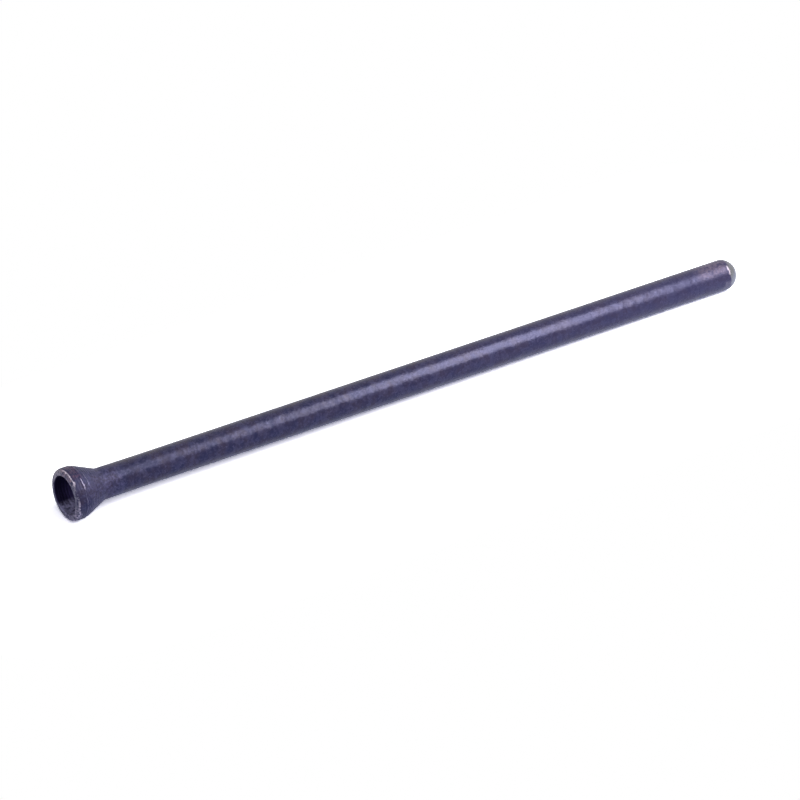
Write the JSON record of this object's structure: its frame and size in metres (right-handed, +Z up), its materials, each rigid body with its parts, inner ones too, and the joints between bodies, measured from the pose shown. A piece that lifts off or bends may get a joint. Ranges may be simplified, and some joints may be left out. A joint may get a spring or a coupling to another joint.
{
  "type": "engine pushrod",
  "caption": "Slim solid steel pushrod, blackened, with a flared bell-shaped cup holding a round socket at one end and a ball nose at the other.",
  "frame": {"origin": "middle of the box's underside: the rod lies on the plane z = 0, on the widest part of its cup and on the foot of its nose, as in the picture", "axes": "+X along the rod, from the cup to the ball nose; the rod's own axis falls 0.83 degrees below +X; +Z up; +Y completes the right-handed set"},
  "size_m": [0.199, 0.0136, 0.0136],
  "materials": {
    "black_oxide_steel": "satin"
  },
  "bodies": {
    "root": {"pushrod": "black_oxide_steel"}
  },
  "joints": []
}
